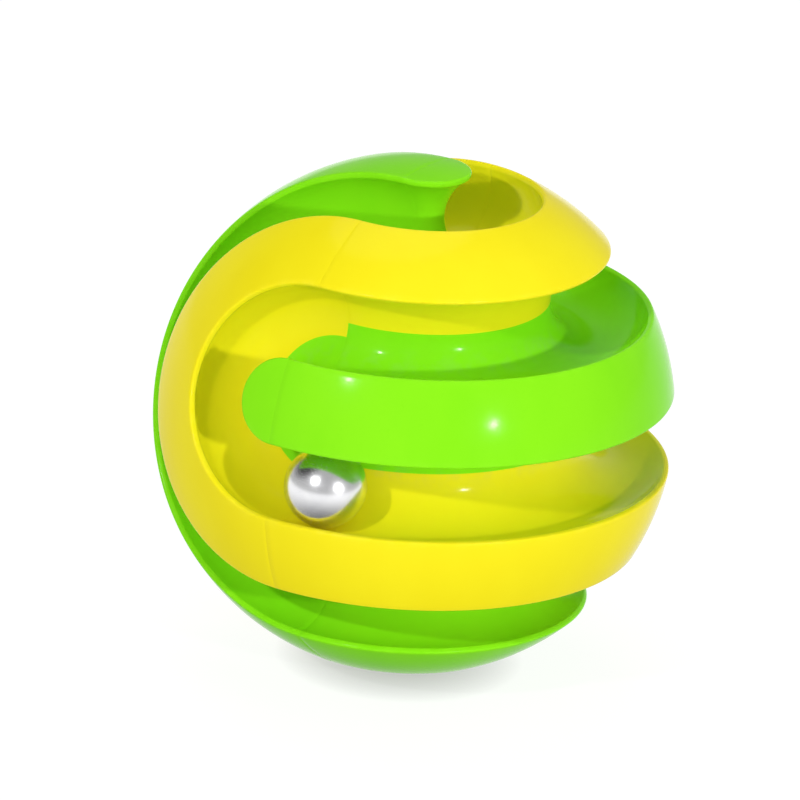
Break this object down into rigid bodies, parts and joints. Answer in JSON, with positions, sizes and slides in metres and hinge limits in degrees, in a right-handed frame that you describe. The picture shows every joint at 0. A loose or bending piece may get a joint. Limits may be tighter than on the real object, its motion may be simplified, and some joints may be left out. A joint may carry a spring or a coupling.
{
  "type": "3d maze ball puzzle",
  "caption": "Twistable maze ball: two layered half balls with round grooves that a captive steel ball rolls along, seen through narrow slits.",
  "frame": {"origin": "centre of the ball, on the seam where the two halves meet", "axes": "+Z is the right half's stacking axis, up through its green cap; +X is the twist axis, out of the right half; the seam is the plane x = 0, and the left half's stacking axis is in it, 72 degrees from +Z towards -Y"},
  "size_m": [0.0632, 0.0632, 0.064],
  "materials": {
    "green_plastic": "moulded lime green, satin gloss",
    "yellow_plastic": "moulded yellow, satin gloss",
    "polished_steel": "polished bearing steel",
    "zinc_steel": "zinc plated",
    "bush_brass": "turned",
    "slip_washer": "slippery nylon"
  },
  "bodies": {
    "right_half": {"right_cap": "green_plastic", "right_ring_1": "yellow_plastic", "right_ring_2": "green_plastic", "right_ring_3": "yellow_plastic", "right_ring_4": "green_plastic", "right_end_cap": "yellow_plastic", "right_stack_pin_1": "zinc_steel", "right_stack_pin_2": "zinc_steel", "pivot_bush": "bush_brass", "spring_seat_washer": "zinc_steel", "pivot_spring": "zinc_steel", "seam_washer": "slip_washer"},
    "left_half": {"left_cap": "green_plastic", "left_ring_1": "yellow_plastic", "left_ring_2": "green_plastic", "left_ring_3": "yellow_plastic", "left_ring_4": "green_plastic", "left_end_cap": "yellow_plastic", "left_stack_pin_1": "zinc_steel", "left_stack_pin_2": "zinc_steel", "pivot_screw": "zinc_steel", "pivot_nut": "zinc_steel", "screw_head_washer": "zinc_steel"},
    "running_ball": {"steel_ball": "polished_steel"}
  },
  "joints": [
    {"name": "twist", "type": "hinge", "parent": "right_half", "child": "left_half", "pos_m": [0, 0, 0], "axis": [1, 0, 0], "continuous": true},
    {"name": "ball_run", "type": "hinge", "parent": "right_half", "child": "running_ball", "pos_m": [0, 0, 0], "axis": [0, 0, 1], "range_deg": [0, 158]}
  ]
}
